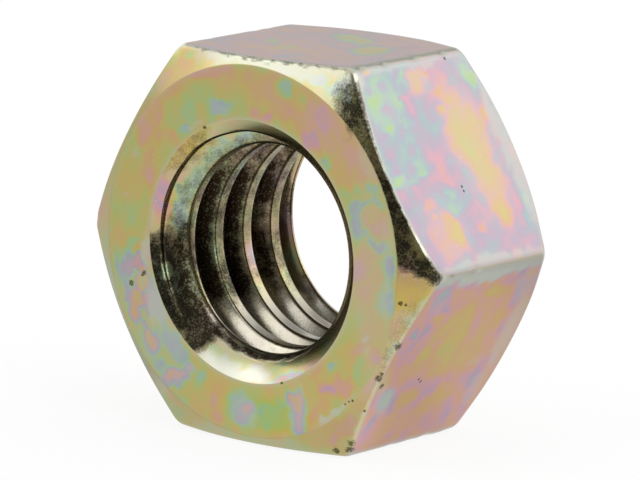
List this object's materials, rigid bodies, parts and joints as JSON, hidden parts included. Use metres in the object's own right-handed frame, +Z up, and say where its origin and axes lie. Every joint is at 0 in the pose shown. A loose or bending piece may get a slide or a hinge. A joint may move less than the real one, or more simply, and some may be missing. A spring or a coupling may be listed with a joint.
{
  "type": "hex nut",
  "caption": "Hex nut with chamfered faces, countersunk threaded bore and yellow zinc finish, standing on one flat.",
  "frame": {"origin": "on the surface the nut stands on, below the middle of the nut", "axes": "+Z up, +Y along the bore from the visible face to the hidden one, +X towards the right-hand corner"},
  "size_m": [0.0144, 0.0068, 0.0126],
  "materials": {
    "yellow_zinc_steel": "zinc plated steel with a yellow, faintly iridescent chromate film, satin"
  },
  "bodies": {
    "root": {"hex_nut": "yellow_zinc_steel"}
  },
  "joints": []
}
